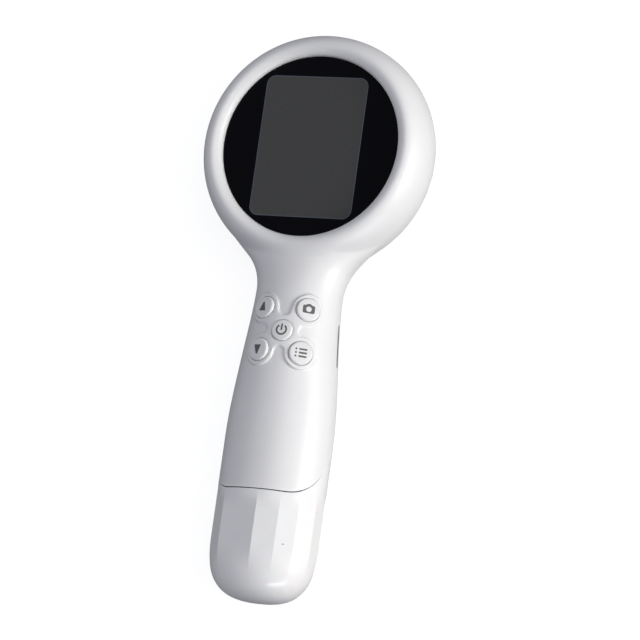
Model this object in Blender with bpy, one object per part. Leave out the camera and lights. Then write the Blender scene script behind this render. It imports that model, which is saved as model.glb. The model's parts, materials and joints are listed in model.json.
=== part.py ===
"""Handheld ultrasound therapy device: a round head on a grip, lying on its back.

+X is to the right of the display, +Y runs from the grip to the head and +Z is the
display's normal.  The origin is the centre of the footprint, on the rest plane.
"along" is the distance from the head's centre towards the end of the grip, and
"up" is the height above the plane where the front and rear shells part.
"""
import math

import bmesh
import bpy
from mathutils import Matrix, Vector

# Outline of the body: the head's circle, the straight flare that leaves it at an angle
# from the middle line, the arc beside the neck, the half-widths of the grip, and where
# its rounded end begins and stops
HEAD_R = 0.0498
FLARE = math.radians(44.5)
NECK_R = 0.022
GRIP_MIN = 0.0180
GRIP_MAX = 0.0223
GRIP_MAX_ALONG = 0.123
DOME_ALONG = 0.1635
END_ALONG = 0.1896
DOME_POWER = 2.8

# Depths of the body, in front of and behind the parting plane
RIM_HEIGHT = 0.0164
RIM_ROUND = 0.0088
GRIP_FRONT = 0.0196
NECK_FRONT = 0.0135
HEAD_REAR = 0.0199
HEAD_REAR_ROUND = 0.0172
GRIP_REAR = 0.0202
NECK_REAR = 0.0167
SECTION_POWER = 2.12

WALL = 0.0022
GAP = 0.0003
MID_Z = 0.0220
HEAD_Y = (END_ALONG - HEAD_R) / 2

# Skins of the body: sides of a section, then rows in the head, the grip and the end
OUTER_SKIN = (28, 8, 6, 5)
INNER_SKIN = (20, 6, 4, 4)

# Past the body on every side, for cutters
BEYOND_X = 0.06
BEYOND_END = 0.25
BEYOND_UP = 0.030

# Display: the glass lies on a ledge, and the screen hangs below its window
GLASS_R = 0.03855
GLASS_TOP = 0.01154
GLASS_THICK = 0.0015
LEDGE_TOP = 0.0096
LEDGE_LOW = 0.0074
LEDGE_R = 0.0440
WINDOW_R = 0.0378
LCD_SIZE = (0.0460, 0.0612)
LCD_LOW = 0.0066
LCD_CORNER = 0.003
GASKET = (0.0400, 0.0430)
GASKET_THICK = 0.0010
BRACKET_R = 0.0430
BRACKET_UP = (0.0044, 0.0058)
BRACKET_WINDOW = (0.018, 0.024)

# Treatment face: a metal cup held by its flange against the inside of the rear shell
FACE_R = 0.0259
FACE_ROUND = 0.0009
FACE_THICK = 0.0020
FACE_BORE_R = 0.0243
FLANGE_R = 0.0285
FLANGE_UP = (-0.0162, -0.0148)
FACE_HOLE_R = 0.0264
BOSS_R = 0.0305
BOSS_UP = (-0.0211, -0.0150)
SEAL = (0.0263, 0.0276, -0.0172, -0.0165)
RETAINER = (0.0262, 0.0305, -0.0145, -0.0128)
PIEZO_R = 0.0190
PIEZO_UP = (-0.0197, -0.0177)
BACKING = (0.0194, 0.0239, -0.0197, -0.0165)
CONTACT_R = 0.0012
CONTACT_UP = (-0.0174, -0.0123)

# Keys: name -> (x, along, cap radius)
KEYS = {
    "key_up": (-0.0076, 0.0706, 0.0048),
    "key_snapshot": (0.0105, 0.0702, 0.0050),
    "key_power": (0.0022, 0.0801, 0.0045),
    "key_down": (-0.0067, 0.0885, 0.0048),
    "key_menu": (0.0107, 0.0887, 0.0050),
}
PLATEAU_RISE = 0.0007
PLATEAU_MARGIN = 0.0021
BRIDGE_WIDTH = 0.0076
PLATEAU_UP = (0.0080, 0.0300)
KEY_RISE = 0.0016
KEY_SKIRT = 0.0034
STEM_R = 0.0012
STEM_FOOT = 0.0088
MAT_UP = (0.0071, 0.0077)
SWITCH_R = 0.0024
SWITCH_UP = (0.0059, 0.0068)
KEY_BOARD_UP = (0.0044, 0.0056)

# Seam of the battery cover: where it lies in front, how far it sweeps back towards the
# head at the sides, and where it lies behind
SEAM_FRONT = 0.1456
SEAM_SWEEP = 0.0142
SEAM_TURN = math.radians(59)
SEAM_REAR = 0.1170

# Side port
PORT_ALONG = (0.0718, 0.0902)
PORT_UP = (-0.0041, -0.0017)
PORT_X = (0.0130, 0.0260)
FLAP_THICK = 0.0014
SOCKET_LOW = (0.0088, 0.0769, -0.0045)
SOCKET_HIGH = (0.0153, 0.0858, -0.0013)
SOCKET_ROUND = 0.0013
MOUTH_LOW = (0.0103, 0.0774, -0.0038)
MOUTH_HIGH = (0.0200, 0.0853, -0.0020)
TONGUE_LOW = (0.0106, 0.0783, -0.00315)
TONGUE_HIGH = (0.0149, 0.0844, -0.00265)

# Circuit boards and what stands on them: heights above the parting plane
MAIN_BOARD_R = 0.0400
MAIN_BOARD_UP = (0.0012, 0.0028)
MAIN_BOARD_FLAT = 0.034
PROCESSOR = 0.0070
PROCESSOR_UP = (0.0001, 0.0009)
DRIVER_BOARD_R = 0.0290
DRIVER_BOARD_UP = (-0.0120, -0.0104)
SHIELD = (0.0120, 0.0090)
SHIELD_UP = (-0.0101, -0.0066)
POWER_BOARD_LOW = (-0.0122, 0.0650, -0.0064)
POWER_BOARD_HIGH = (0.0136, 0.0920, -0.0048)
SOUNDER_R = 0.0052
SOUNDER_UP = (-0.0097, -0.0067)
SOUNDER_PLACE = (-0.0050, 0.0800)

# Battery
CELL_R = 0.00915
CELL_LENGTH = 0.065
CELL_X = 0.0097
CELL_START = 0.1100
CELL_TIP_R = 0.0030
CELL_TIP = 0.0008
CHASSIS_X = 0.0118
CHASSIS_START = 0.1050
CHASSIS_UP = (-0.0113, -0.0095)
CHASSIS_WALL = 0.0015

# Rubber foot under the grip, in its recess
FOOT_X = 0.0085
FOOT_ALONG = (0.1060, 0.1130)
FOOT_TOP = -0.0192
FOOT_ROUND = 0.0030

# Screws: name -> (x, along, height of the seat under the head)
SCREWS = {
    "screw_neck_left": (-0.0112, 0.0560, -0.0100),
    "screw_neck_right": (0.0112, 0.0560, -0.0100),
    "screw_grip_left": (-0.0120, 0.0985, -0.0125),
    "screw_grip_right": (0.0120, 0.0985, -0.0125),
}

SCREW_HEAD_R = 0.0027
SCREW_HEAD = 0.0017
SCREW_R = 0.0012
SCREW_TIP = 0.0030
RECESS_R = 0.0031
CLEARANCE_R = 0.0016
PILOT_R = 0.0015
PILOT_TOP = 0.0040
FRONT_BOSS_R = 0.0034
FRONT_BOSS_LOW = -0.0055
REAR_BOSS_R = 0.0044
REAR_BOSS_WALL = 0.0026
BOSS_COVER = 0.0009

# Slot -> (colour, roughness, metallic)
COLOURS = {
    "shell_white": ((0.80, 0.80, 0.81), 0.42, 0.0),
    "cover_white": ((0.82, 0.82, 0.84), 0.16, 0.0),
    "key_white": ((0.79, 0.79, 0.80), 0.35, 0.0),
    "display_glass": ((0.004, 0.004, 0.006), 0.05, 0.0),
    "lcd_grey": ((0.05, 0.05, 0.052), 0.35, 0.0),
    "gasket_black": ((0.02, 0.02, 0.02), 0.8, 0.0),
    "flap_grey": ((0.09, 0.09, 0.10), 0.6, 0.0),
    "rubber_grey": ((0.12, 0.12, 0.13), 0.75, 0.0),
    "aluminium": ((0.78, 0.79, 0.80), 0.28, 1.0),
    "steel": ((0.55, 0.56, 0.57), 0.35, 1.0),
    "nickel": ((0.66, 0.65, 0.60), 0.3, 1.0),
    "board_green": ((0.02, 0.16, 0.07), 0.45, 0.0),
    "piezo_ceramic": ((0.72, 0.66, 0.52), 0.6, 0.0),
    "chassis_black": ((0.03, 0.03, 0.035), 0.5, 0.0),
    "silicone": ((0.55, 0.56, 0.58), 0.6, 0.0),
    "cell_wrap": ((0.05, 0.18, 0.42), 0.35, 0.0),
    "switch_black": ((0.02, 0.02, 0.02), 0.4, 0.0),
}


def clear_scene():
    for obj in list(bpy.data.objects):
        bpy.data.objects.remove(obj, do_unlink=True)


def material(slot):
    existing = bpy.data.materials.get(slot)
    if existing:
        return existing
    colour, roughness, metallic = COLOURS[slot]
    new = bpy.data.materials.new(slot)
    new.use_nodes = True
    shader = new.node_tree.nodes["Principled BSDF"]
    shader.inputs["Base Color"].default_value = (*colour, 1.0)
    shader.inputs["Roughness"].default_value = roughness
    shader.inputs["Metallic"].default_value = metallic
    return new


def place(x, along, up):
    return Vector((x, HEAD_Y - along, MID_Z + up))


# ---------------------------------------------------------------- body shape

def smooth(t):
    t = min(max(t, 0.0), 1.0)
    return t * t * (3 - 2 * t)


def soft_max(a, b, blend):
    """The larger of two heights, rounded where they cross; zero stays zero."""
    width = blend * min(1.0, b / 0.005) + 1e-9
    near = max(width - abs(a - b), 0.0) / width
    return max(a, b) + near * near * width / 4


def dome_factor(along, inset):
    """Share of the full section that is left in the rounded end of the grip."""
    t = (along - DOME_ALONG) / (END_ALONG - inset - DOME_ALONG)
    t = min(max(t, 0.0), 1.0)
    return (1 - t ** DOME_POWER) ** (1 / DOME_POWER)


def half_width(along, inset=0.0):
    """Half the body's width, or that of a skin `inset` inside it."""
    head = HEAD_R - inset
    arc_r = NECK_R + inset
    across = math.sin(FLARE)
    down = math.cos(FLARE)
    centre_x = GRIP_MIN + NECK_R
    flare_end = HEAD_R * down + (HEAD_R * across - centre_x + NECK_R * across) * across / down
    centre_along = flare_end + NECK_R * down
    if along < head * down:
        return math.sqrt(max(head ** 2 - along ** 2, 0.0))
    if along < centre_along - arc_r * down:
        return head * across - (along - head * down) * down / across
    if along < centre_along:
        return centre_x - math.sqrt(arc_r ** 2 - (along - centre_along) ** 2)
    widen = smooth((along - centre_along) / (GRIP_MAX_ALONG - centre_along))
    width = GRIP_MIN + (GRIP_MAX - GRIP_MIN) * widen - inset
    return width * dome_factor(along, inset)


def crown(x, width):
    """Height of the superellipse section at x, as a share of its full depth."""
    share = min(abs(x) / max(width, 1e-7), 1.0)
    return (1 - share ** SECTION_POWER) ** (1 / SECTION_POWER)


def rim(radius, depth, rounding, inset):
    """Height of the head at a radius: flat within its rounded edge."""
    t = min(max((HEAD_R - inset - radius) / rounding, 0.0), 1.0)
    return (depth - inset) * math.sqrt(1 - (1 - t) ** 2)


def front_height(x, along, inset=0.0):
    width = half_width(along, inset)
    ring = rim(math.hypot(x, along), RIM_HEIGHT, RIM_ROUND, inset)
    depth = NECK_FRONT + (GRIP_FRONT - NECK_FRONT) * smooth((along - 0.040) / 0.050) - inset
    grip = depth * smooth((along - 0.0285) / 0.014) * crown(x, width) * dome_factor(along, inset)
    return soft_max(ring, grip, 0.003)


def rear_height(x, along, inset=0.0):
    width = half_width(along, inset)
    ring = rim(math.hypot(x, along), HEAD_REAR, HEAD_REAR_ROUND, inset)
    depth = NECK_REAR + (GRIP_REAR - NECK_REAR) * smooth((along - 0.055) / 0.050) - inset
    grip = depth * smooth((along - 0.025) / 0.025) * crown(x, width) * dome_factor(along, inset)
    return soft_max(ring, grip, 0.005)


def row_positions(inset, head_rows, grip_rows, dome_rows):
    """Distances along the body at which its cross-sections are taken."""
    head = HEAD_R - inset
    end = END_ALONG - inset
    neck_top = 0.040
    rows = [-head * math.cos(math.pi / 2 * i / head_rows) for i in range(1, head_rows + 1)]
    rows += [neck_top * i / (head_rows // 2) for i in range(1, head_rows // 2 + 1)]
    rows += [neck_top + (0.075 - neck_top) * i / 5 for i in range(1, 6)]
    rows += [0.075 + (DOME_ALONG - 0.075) * i / grip_rows for i in range(1, grip_rows + 1)]
    for i in range(1, dome_rows):
        rows.append(DOME_ALONG + (end - DOME_ALONG) * math.sin(math.pi / 2 * i / dome_rows))
    return [-head] + rows + [end]


def body_mesh(inset, sides, head_rows, grip_rows, dome_rows, start=None):
    """The whole body as one closed skin, or from `start` along to the end of the grip."""
    mesh = bmesh.new()
    rows = row_positions(inset, head_rows, grip_rows, dome_rows)
    if start is not None:
        rows = [start] + [along for along in rows if along > start + 0.002]
    loops = []
    for along in rows:
        width = half_width(along, inset)
        if width < 0.0008:
            loops.append([mesh.verts.new(place(0, along, 0))])
            continue
        loop = []
        for i in range(sides):
            angle = 2 * math.pi * i / sides
            x = width * math.cos(angle)
            if i in (0, sides // 2):
                up = 0.0
            elif angle < math.pi:
                up = front_height(x, along, inset)
            else:
                up = -rear_height(x, along, inset)
            loop.append(mesh.verts.new(place(x, along, up)))
        loops.append(loop)
    for near, far in zip(loops, loops[1:]):
        join_loops(mesh, near, far)
    for loop in (loops[0], loops[-1]):
        if len(loop) > 1:
            mesh.faces.new(loop)
    bmesh.ops.recalc_face_normals(mesh, faces=mesh.faces)
    bmesh.ops.triangulate(mesh, faces=mesh.faces)
    return mesh


def join_loops(mesh, near, far):
    count = max(len(near), len(far))
    for i in range(count):
        j = (i + 1) % count
        if len(near) == 1:
            mesh.faces.new((near[0], far[i], far[j]))
        elif len(far) == 1:
            mesh.faces.new((far[0], near[j], near[i]))
        else:
            mesh.faces.new((near[i], far[i], far[j], near[j]))


# ------------------------------------------------------------ small builders

def make_object(name, mesh, slot):
    data = bpy.data.meshes.new(name)
    mesh.to_mesh(data)
    mesh.free()
    obj = bpy.data.objects.new(name, data)
    bpy.context.scene.collection.objects.link(obj)
    if slot is None:
        obj.hide_render = True
        obj.display_type = "WIRE"
    else:
        data.materials.append(material(slot))
        data.shade_smooth()
        data.set_sharp_from_angle(angle=math.radians(35))
    return obj


def cutter(name, mesh):
    return make_object(name, mesh, None)


def boolean(obj, other, operation):
    modifier = obj.modifiers.new(other.name, "BOOLEAN")
    modifier.operation = operation
    modifier.solver = "EXACT"
    modifier.object = other


def cut(obj, *others):
    for other in others:
        boolean(obj, other, "DIFFERENCE")


def join(obj, *others):
    for other in others:
        boolean(obj, other, "UNION")


def keep(obj, other):
    boolean(obj, other, "INTERSECT")


def weld(obj):
    modifier = obj.modifiers.new("weld", "WELD")
    modifier.merge_threshold = 0.00002


def box_mesh(low, high):
    """A box between two corners given as (x, along, up)."""
    first = place(*low)
    last = place(*high)
    mesh = bmesh.new()
    bmesh.ops.create_cube(mesh, size=1.0)
    size = Vector([abs(last[i] - first[i]) for i in range(3)])
    centre = (first + last) / 2
    bmesh.ops.scale(mesh, vec=size, verts=mesh.verts)
    bmesh.ops.translate(mesh, vec=centre, verts=mesh.verts)
    return mesh


def bevel_edges(mesh, amount, choose, segments=2):
    edges = [edge for edge in mesh.edges if choose(edge)]
    bmesh.ops.bevel(mesh, geom=edges, offset=amount, segments=segments, profile=0.5,
                    affect="EDGES", clamp_overlap=True)
    return mesh


def upright(edge):
    direction = edge.verts[1].co - edge.verts[0].co
    return abs(direction.normalized().z) > 0.99


def sideways(edge):
    direction = edge.verts[1].co - edge.verts[0].co
    return abs(direction.normalized().x) > 0.99


def turned_mesh(profile, sides, base=None, axis=Vector((0, 0, 1))):
    """Turn a closed (radius, height) profile about an axis through `base`."""
    mesh = bmesh.new()
    turn = Vector((0, 0, 1)).rotation_difference(axis).to_matrix().to_4x4()
    frame = Matrix.Translation(base if base is not None else Vector()) @ turn
    rings = []
    for radius, height in profile:
        if radius < 1e-7:
            rings.append([mesh.verts.new(frame @ Vector((0, 0, height)))])
            continue
        ring = []
        for i in range(sides):
            angle = 2 * math.pi * i / sides
            local = Vector((radius * math.cos(angle), radius * math.sin(angle), height))
            ring.append(mesh.verts.new(frame @ local))
        rings.append(ring)
    pairs = list(zip(rings, rings[1:]))
    if len(rings[0]) > 1:
        pairs.append((rings[-1], rings[0]))
    for near, far in pairs:
        join_loops(mesh, near, far)
    bmesh.ops.recalc_face_normals(mesh, faces=mesh.faces)
    return mesh


def disc_profile(radius, low, high, chamfer=0.0):
    if not chamfer:
        return [(0, low), (radius, low), (radius, high), (0, high)]
    return [(0, low), (radius - chamfer, low), (radius, low + chamfer),
            (radius, high - chamfer), (radius - chamfer, high), (0, high)]


def ring_profile(inner, outer, low, high):
    return [(inner, low), (outer, low), (outer, high), (inner, high)]


def disc(name, slot, radius, low, high, x=0.0, along=0.0, sides=32, chamfer=0.0):
    mesh = turned_mesh(disc_profile(radius, low, high, chamfer), sides, place(x, along, 0))
    return make_object(name, mesh, slot)


def ring(name, slot, inner, outer, low, high, sides=32):
    return make_object(name, turned_mesh(ring_profile(inner, outer, low, high), sides,
                                         place(0, 0, 0)), slot)


def plate(name, slot, low, high, corner=0.0):
    mesh = box_mesh(low, high)
    if corner:
        bevel_edges(mesh, corner, upright, 3)
    return make_object(name, mesh, slot)


# ------------------------------------------------------------------- shells

def seam_along(up):
    """Where the battery cover's seam lies at a height above the parting plane."""
    if up >= 0:
        turn = math.asin(min(up / GRIP_FRONT, 1.0)) / SEAM_TURN
        return SEAM_FRONT - SEAM_SWEEP * max(1 - turn, 0.0) ** 2
    middle = SEAM_FRONT - SEAM_SWEEP
    fall = 1 - math.exp(up / 0.0052)
    return middle - (middle - SEAM_REAR) * fall


def seam_mesh(shift):
    """A solid that fills everything beyond the seam, moved `shift` along the grip."""
    levels = [0.030, 0.0165, 0.0150, 0.0130, 0.0105, 0.0080, 0.0055, 0.0030, 0.0010,
              -0.0010, -0.0030, -0.0055, -0.0090, -0.0140, -0.0300]
    mesh = bmesh.new()
    sides = []
    for x in (-BEYOND_X, BEYOND_X):
        edge = [mesh.verts.new(place(x, seam_along(up) + shift, up)) for up in levels]
        far = [mesh.verts.new(place(x, BEYOND_END, up)) for up in (levels[-1], levels[0])]
        sides.append(edge + far)
    mesh.faces.new(sides[0])
    mesh.faces.new(list(reversed(sides[1])))
    count = len(sides[0])
    for i in range(count):
        j = (i + 1) % count
        mesh.faces.new((sides[0][j], sides[0][i], sides[1][i], sides[1][j]))
    bmesh.ops.recalc_face_normals(mesh, faces=mesh.faces)
    bmesh.ops.triangulate(mesh, faces=mesh.faces)
    return mesh


def surface_frame(x, along):
    """Point on the front surface of the grip and its outward normal there."""
    step = 0.0004
    up = front_height(x, along)
    slope_x = (front_height(x + step, along) - front_height(x - step, along)) / (2 * step)
    slope_y = (front_height(x, along - step) - front_height(x, along + step)) / (2 * step)
    return place(x, along, up), Vector((-slope_x, -slope_y, 1)).normalized()


def plateau_cutter():
    """The X-shaped prism that the keys stand in: a lobe for each key and four bridges."""
    centre_x, centre_along, _ = KEYS["key_power"]
    prism = None
    for name, (x, along, radius) in KEYS.items():
        lobe = cutter("lobe_" + name, turned_mesh(
            disc_profile(radius + PLATEAU_MARGIN, *PLATEAU_UP), 20, place(x, along, 0)))
        if prism is None:
            prism = lobe
        else:
            join(prism, lobe)
        if name == "key_power":
            continue
        reach = Vector((x - centre_x, -(along - centre_along), 0))
        length = reach.length
        mesh = bmesh.new()
        bmesh.ops.create_cube(mesh, size=1.0)
        height = PLATEAU_UP[1] - PLATEAU_UP[0] - 2 * GAP
        bmesh.ops.scale(mesh, vec=(length, BRIDGE_WIDTH, height), verts=mesh.verts)
        turn = Matrix.Rotation(math.atan2(reach.y, reach.x), 4, "Z")
        middle = place(centre_x, centre_along, sum(PLATEAU_UP) / 2) + reach / 2
        bmesh.ops.transform(mesh, matrix=Matrix.Translation(middle) @ turn, verts=mesh.verts)
        join(prism, cutter("bridge_" + name, mesh))
    return prism


def boss_cluster(side, radius, heights):
    """Screw bosses of one shell, cut off just under the body's outer surface."""
    bosses = None
    for name, (x, along, floor) in SCREWS.items():
        low, high = heights(floor)
        boss = cutter(side + "_boss_" + name, turned_mesh(
            disc_profile(radius, low, high), 14, place(x, along, 0)))
        if bosses is None:
            bosses = boss
        else:
            join(bosses, boss)
    keep(bosses, cutter(side + "_boss_limit", body_mesh(BOSS_COVER, *OUTER_SKIN)))
    return bosses


def beyond_box(near_along, low, high):
    """A box past the sides and both ends of the body, between two heights."""
    return box_mesh((-BEYOND_X, near_along, low), (BEYOND_X, BEYOND_END, high))


def front_shell():
    shell = make_object("front_shell", body_mesh(0.0, *OUTER_SKIN), "shell_white")
    raised = cutter("raised_body", body_mesh(-PLATEAU_RISE, *OUTER_SKIN))
    keep(raised, plateau_cutter())
    join(shell, raised)
    hollow = cutter("front_hollow", body_mesh(WALL, *INNER_SKIN))
    ledge = cutter("ledge_plate", turned_mesh(
        disc_profile(LEDGE_R, LEDGE_LOW, BEYOND_UP), 40, place(0, 0, 0)))
    cut(hollow, ledge)
    cut(shell, hollow)
    join(shell, boss_cluster("front", FRONT_BOSS_R, lambda floor: (FRONT_BOSS_LOW, 0.0200)))
    for name, (x, along, _) in SCREWS.items():
        cut(shell, cutter("pilot_" + name, turned_mesh(
            disc_profile(PILOT_R, -0.0100, PILOT_TOP), 10, place(x, along, 0))))
    below = FRONT_BOSS_LOW - 0.0005
    rear_space = cutter("front_parting", beyond_box(-BEYOND_X, GAP / 2, below - 0.0005))
    for name, (x, along, _) in SCREWS.items():
        cut(rear_space, cutter("boss_room_" + name, turned_mesh(
            disc_profile(FRONT_BOSS_R + 0.0001, -BEYOND_UP, BEYOND_UP), 12, place(x, along, 0))))
    cut(shell, cutter("front_far_side", beyond_box(-BEYOND_X, below, -BEYOND_UP)))
    cut(shell, rear_space)
    cut(shell, cutter("front_seam", seam_mesh(-GAP / 2)))
    opening = [(0, PILOT_TOP), (WINDOW_R, PILOT_TOP), (WINDOW_R, LEDGE_TOP),
               (GLASS_R + GAP, LEDGE_TOP), (GLASS_R + GAP, BEYOND_UP), (0, BEYOND_UP)]
    cut(shell, cutter("glass_opening", turned_mesh(opening, 48, place(0, 0, 0))))
    for name, (x, along, radius) in KEYS.items():
        point, normal = surface_frame(x, along)
        cut(shell, cutter("hole_" + name, turned_mesh(
            disc_profile(radius + GAP, -0.0060, 0.0050), 20, point, normal)))
    cut(shell, cutter("front_port", port_mesh(0.0)))
    weld(shell)
    return shell


def port_mesh(shrink):
    low = (PORT_X[0], PORT_ALONG[0] + shrink, PORT_UP[0] + shrink)
    high = (PORT_X[1], PORT_ALONG[1] - shrink, PORT_UP[1] - shrink)
    return box_mesh(low, high)


def rear_shell():
    shell = make_object("rear_shell", body_mesh(0.0, *OUTER_SKIN), "shell_white")
    join(shell, cutter("face_boss", turned_mesh(
        disc_profile(BOSS_R, *BOSS_UP, 0.0006), 40, place(0, 0, 0))))
    cut(shell, cutter("face_hole", turned_mesh(
        disc_profile(FACE_HOLE_R, -0.0260, -0.0100), 36, place(0, 0, 0))))
    cut(shell, cutter("rear_hollow", body_mesh(WALL, *INNER_SKIN)))
    cut(shell, cutter("rear_parting", beyond_box(-BEYOND_X, -GAP / 2, BEYOND_UP)))
    cut(shell, cutter("rear_seam", seam_mesh(-GAP / 2)))
    join(shell, boss_cluster(
        "rear", REAR_BOSS_R, lambda floor: (-0.0200, floor + REAR_BOSS_WALL)))
    for name, (x, along, floor) in SCREWS.items():
        cut(shell, cutter("recess_" + name, turned_mesh(
            disc_profile(RECESS_R, -BEYOND_UP, floor), 16, place(x, along, 0))))
        cut(shell, cutter("clearance_" + name, turned_mesh(
            disc_profile(CLEARANCE_R, -0.0200, 0.0010), 10, place(x, along, 0))))
    cut(shell, cutter("foot_recess", foot_mesh(GAP, FOOT_TOP + GAP)))
    cut(shell, cutter("rear_port", port_mesh(0.0)))
    weld(shell)
    return shell


def foot_mesh(grow, top):
    """The foot, or the cutter of its recess when it grows by the gap round it."""
    bottom = -MID_Z - (0.004 if grow else 0.0)
    mesh = box_mesh((-FOOT_X - grow, FOOT_ALONG[0] - grow, bottom),
                    (FOOT_X + grow, FOOT_ALONG[1] + grow, top))
    return bevel_edges(mesh, FOOT_ROUND + grow, upright, 3)


def battery_cover():
    cover = make_object("battery_cover", body_mesh(0.0, *OUTER_SKIN, start=0.105), "cover_white")
    cut(cover, cutter("cover_hollow", body_mesh(WALL, *INNER_SKIN, start=0.100)))
    reach = BEYOND_UP - 0.0001
    before = box_mesh((-BEYOND_X, 0.09, -reach), (BEYOND_X, 0.20, reach))
    before_seam = cutter("before_seam", before)
    cut(before_seam, cutter("cover_seam", seam_mesh(GAP / 2)))
    cut(cover, before_seam)
    return cover


def port_flap():
    flap = make_object("port_flap", body_mesh(0.0, *OUTER_SKIN), "flap_grey")
    cut(flap, cutter("flap_inside", body_mesh(FLAP_THICK, *OUTER_SKIN)))
    keep(flap, cutter("flap_outline", port_mesh(GAP)))
    return flap


# ----------------------------------------------------------------- display

def display():
    under_glass = GLASS_TOP - GLASS_THICK
    disc("display_glass", "display_glass", GLASS_R, under_glass, GLASS_TOP,
         sides=48, chamfer=0.0002)
    width, height = LCD_SIZE
    plate("lcd_module", "lcd_grey", (-width / 2, -height / 2, LCD_LOW),
          (width / 2, height / 2, under_glass - GAP), LCD_CORNER)
    gasket_top = LEDGE_LOW - GAP
    ring("display_gasket", "gasket_black", *GASKET, gasket_top - GASKET_THICK, gasket_top, sides=40)
    bracket = disc("display_bracket", "chassis_black", BRACKET_R, *BRACKET_UP, sides=40)
    half_x, half_y = BRACKET_WINDOW
    cut(bracket, cutter("bracket_window", box_mesh(
        (-half_x, -half_y, BRACKET_UP[0] - 0.001), (half_x, half_y, BRACKET_UP[1] + 0.001))))


def boards():
    main = disc("main_board", "board_green", MAIN_BOARD_R, *MAIN_BOARD_UP, sides=36)
    cut(main, cutter("board_flat", box_mesh(
        (-0.05, -0.05, MAIN_BOARD_UP[0] - 0.001), (0.05, -MAIN_BOARD_FLAT, MAIN_BOARD_UP[1] + 0.001))))
    disc("driver_board", "board_green", DRIVER_BOARD_R, *DRIVER_BOARD_UP, sides=32)
    half_x, half_y = SHIELD
    plate("driver_shield", "steel", (-half_x, -half_y, SHIELD_UP[0]),
          (half_x, half_y, SHIELD_UP[1]), 0.001)
    plate("processor", "switch_black", (-PROCESSOR, -PROCESSOR, PROCESSOR_UP[0]),
          (PROCESSOR, PROCESSOR, PROCESSOR_UP[1]))
    plate("key_board", "board_green", (-0.0125, 0.0630, KEY_BOARD_UP[0]),
          (0.0125, 0.0940, KEY_BOARD_UP[1]), 0.0015)


# --------------------------------------------------------- treatment head

def treatment_head():
    low = -MID_Z
    face = [(0, low), (FACE_R - FACE_ROUND, low), (FACE_R - FACE_ROUND / 3, low + FACE_ROUND / 3),
            (FACE_R, low + FACE_ROUND), (FACE_R, FLANGE_UP[0]), (FLANGE_R, FLANGE_UP[0]),
            (FLANGE_R, FLANGE_UP[1]), (FACE_BORE_R, FLANGE_UP[1]),
            (FACE_BORE_R, low + FACE_THICK), (0, low + FACE_THICK)]
    make_object("treatment_face", turned_mesh(face, 40, place(0, 0, 0)), "aluminium")
    ring("face_seal", "rubber_grey", *SEAL, sides=36)
    disc("piezo_disc", "piezo_ceramic", PIEZO_R, *PIEZO_UP, sides=32)
    ring("backing_ring", "chassis_black", *BACKING, sides=32)
    ring("retaining_ring", "chassis_black", *RETAINER, sides=32)
    disc("piezo_contact", "nickel", CONTACT_R, *CONTACT_UP, sides=10)


# ---------------------------------------------------------------- keypad

def keypad():
    for name, (x, along, radius) in KEYS.items():
        point, normal = surface_frame(x, along)
        reach = (point.z - MID_Z - STEM_FOOT) / normal.z
        profile = [(0, -reach), (STEM_R, -reach), (STEM_R, -KEY_SKIRT), (radius, -KEY_SKIRT),
                   (radius, KEY_RISE - 0.0007), (radius * 0.90, KEY_RISE - 0.00025),
                   (radius * 0.62, KEY_RISE - 0.00006), (0, KEY_RISE)]
        cap = turned_mesh(profile, 20, Vector(), normal)
        make_object(name, cap, "key_white").location = point
        foot = point - normal * reach
        disc("switch_" + name[4:], "switch_black", SWITCH_R, *SWITCH_UP,
             x=foot.x, along=HEAD_Y - foot.y, sides=12)
    plate("keypad_mat", "silicone", (-0.0115, 0.0660, MAT_UP[0]), (0.0115, 0.0940, MAT_UP[1]), 0.0015)


# --------------------------------------------------------------- grip inside

def power():
    edge = CELL_R - 0.00065
    shoulder = CELL_LENGTH - CELL_TIP
    for side, x in (("left", -CELL_X), ("right", CELL_X)):
        profile = [(0, 0), (edge, 0), (CELL_R, CELL_TIP), (CELL_R, shoulder - CELL_TIP),
                   (edge, shoulder), (CELL_TIP_R, shoulder), (CELL_TIP_R, CELL_LENGTH),
                   (0, CELL_LENGTH)]
        make_object("battery_cell_" + side, turned_mesh(
            profile, 24, place(x, CELL_START, 0.0), Vector((0, -1, 0))), "cell_wrap")
    cell_end = CELL_START + CELL_LENGTH
    chassis_end = cell_end + 2 * CHASSIS_WALL
    base = CHASSIS_UP[0]
    chassis = plate("battery_chassis", "chassis_black", (-CHASSIS_X, CHASSIS_START, base),
                    (CHASSIS_X, chassis_end, CHASSIS_UP[1]))
    join(chassis, cutter("chassis_inner_wall", box_mesh(
        (-0.0150, CHASSIS_START, base), (0.0150, CHASSIS_START + CHASSIS_WALL, 0.0080))))
    join(chassis, cutter("chassis_outer_wall", box_mesh(
        (-CHASSIS_X, chassis_end - CHASSIS_WALL, base), (CHASSIS_X, chassis_end, 0.0060))))
    inner_plate = CHASSIS_START + CHASSIS_WALL + GAP
    plate("contact_plate_inner", "nickel", (-0.0140, inner_plate, -0.0070),
          (0.0140, inner_plate + 0.0006, 0.0060))
    plate("contact_plate_outer", "nickel", (-0.0130, cell_end + 0.0004, -0.0060),
          (0.0130, cell_end + 0.0010, 0.0050))
    for side, x in (("left", -CELL_X), ("right", CELL_X)):
        profile = [(0, 0), (0.0030, 0), (0.0022, 0.0016), (0, 0.0016)]
        make_object("cell_contact_" + side, turned_mesh(
            profile, 12, place(x, inner_plate + 0.0010, 0.0), Vector((0, -1, 0))), "nickel")


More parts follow.
